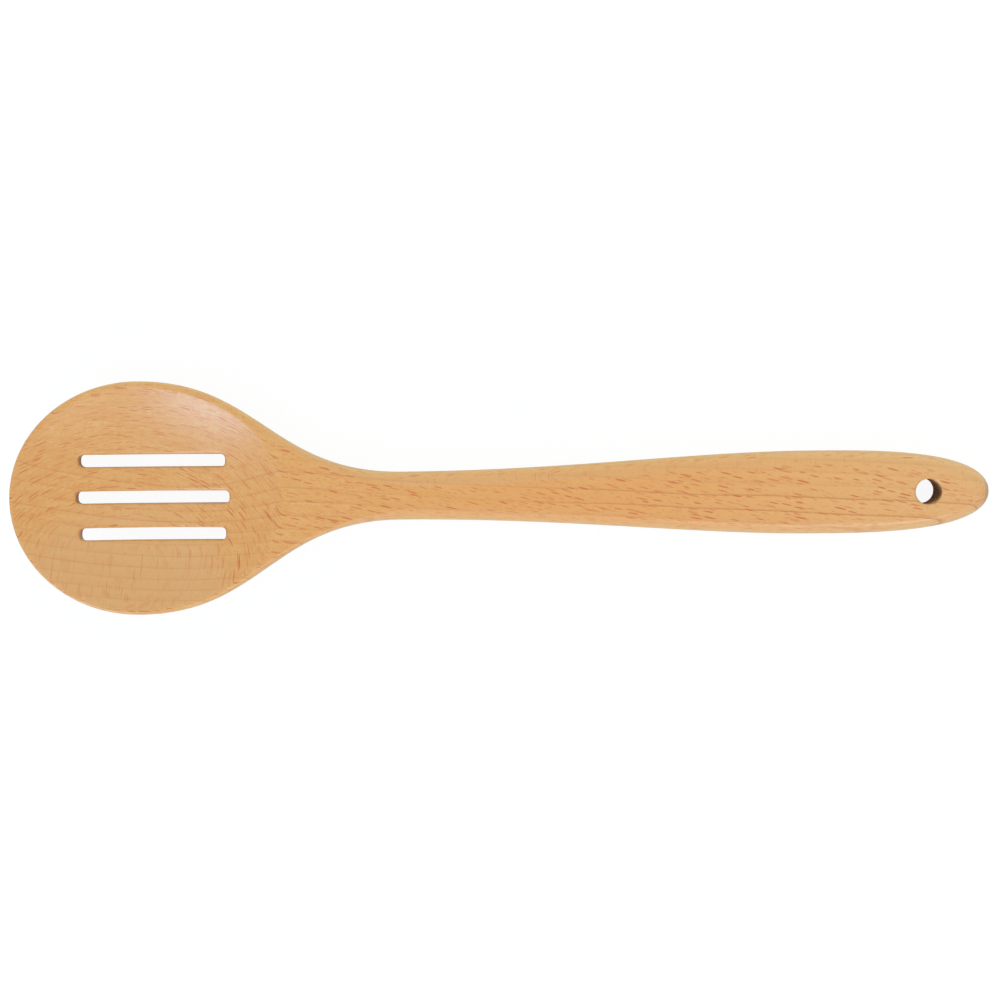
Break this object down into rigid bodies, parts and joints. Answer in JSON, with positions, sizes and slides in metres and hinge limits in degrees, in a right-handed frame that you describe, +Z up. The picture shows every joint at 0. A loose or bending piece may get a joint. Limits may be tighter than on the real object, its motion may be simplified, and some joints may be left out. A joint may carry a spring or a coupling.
{
  "type": "slotted spoon",
  "caption": "Wooden slotted spoon carved from solid beech, with an oval dished bowl, long draining slots, a slim neck and a wide flat-faced handle with a hanging hole.",
  "frame": {"origin": "on the worktop, under the middle of the spoon's box as it lies face up", "axes": "+X along the spoon from the bowl to the end of the handle, +Y across it, +Z up out of the bowl"},
  "size_m": [0.305, 0.0726, 0.0165],
  "materials": {
    "beech": "sanded and lightly oiled"
  },
  "bodies": {
    "root": {"spoon": "beech"}
  },
  "joints": []
}
